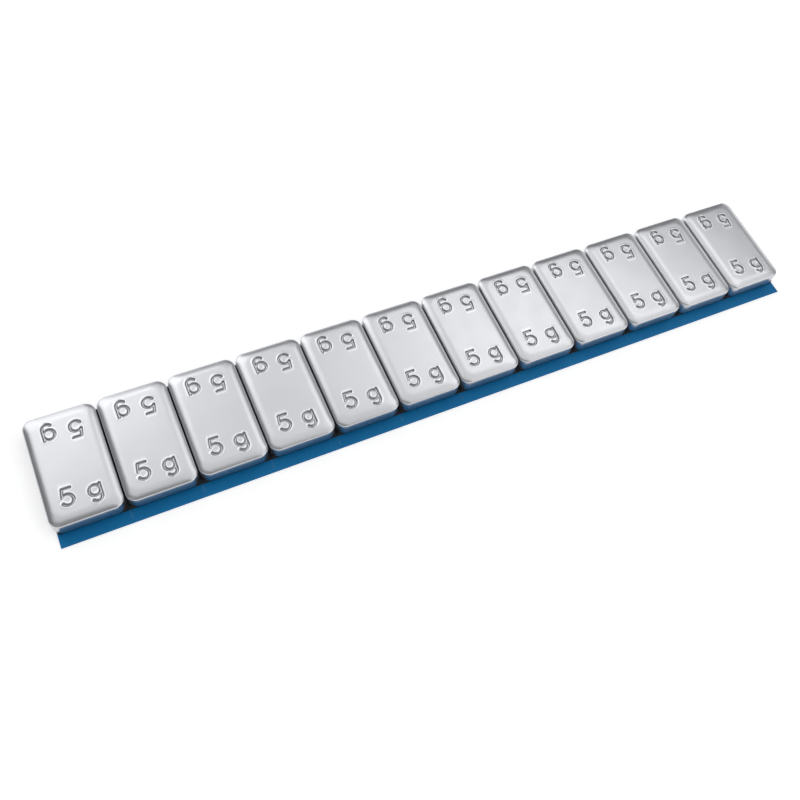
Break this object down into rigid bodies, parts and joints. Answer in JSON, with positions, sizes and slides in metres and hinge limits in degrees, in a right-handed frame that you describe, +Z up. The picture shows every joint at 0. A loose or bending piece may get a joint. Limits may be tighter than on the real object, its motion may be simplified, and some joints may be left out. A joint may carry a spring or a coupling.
{
  "type": "adhesive wheel balance weight strip",
  "caption": "Row of pressed steel balance weights on double-sided foam tape with a blue release liner, stuck inside a wheel rim to balance it.",
  "frame": {"origin": "middle of the row of weights, on the underside of the release liner", "axes": "+X along the row, +Y across the row away from the liner's pull edge, +Z up from the liner to the weights' tops"},
  "size_m": [0.1391, 0.021, 0.0038],
  "materials": {
    "plated_steel": "bright satin zinc plating on pressed steel",
    "foam_tape": "matte black closed-cell foam",
    "liner_film": "blue release film with a soft sheen"
  },
  "bodies": {
    "root": {"weight_1": "plated_steel", "weight_2": "plated_steel", "weight_3": "plated_steel", "weight_4": "plated_steel", "weight_5": "plated_steel", "weight_6": "plated_steel", "weight_7": "plated_steel", "weight_8": "plated_steel", "weight_9": "plated_steel", "weight_10": "plated_steel", "weight_11": "plated_steel", "weight_12": "plated_steel", "foam_pad_1": "foam_tape", "foam_pad_2": "foam_tape", "foam_pad_3": "foam_tape", "foam_pad_4": "foam_tape", "foam_pad_5": "foam_tape", "foam_pad_6": "foam_tape", "foam_pad_7": "foam_tape", "foam_pad_8": "foam_tape", "foam_pad_9": "foam_tape", "foam_pad_10": "foam_tape", "foam_pad_11": "foam_tape", "foam_pad_12": "foam_tape", "release_liner": "liner_film"}
  },
  "joints": []
}
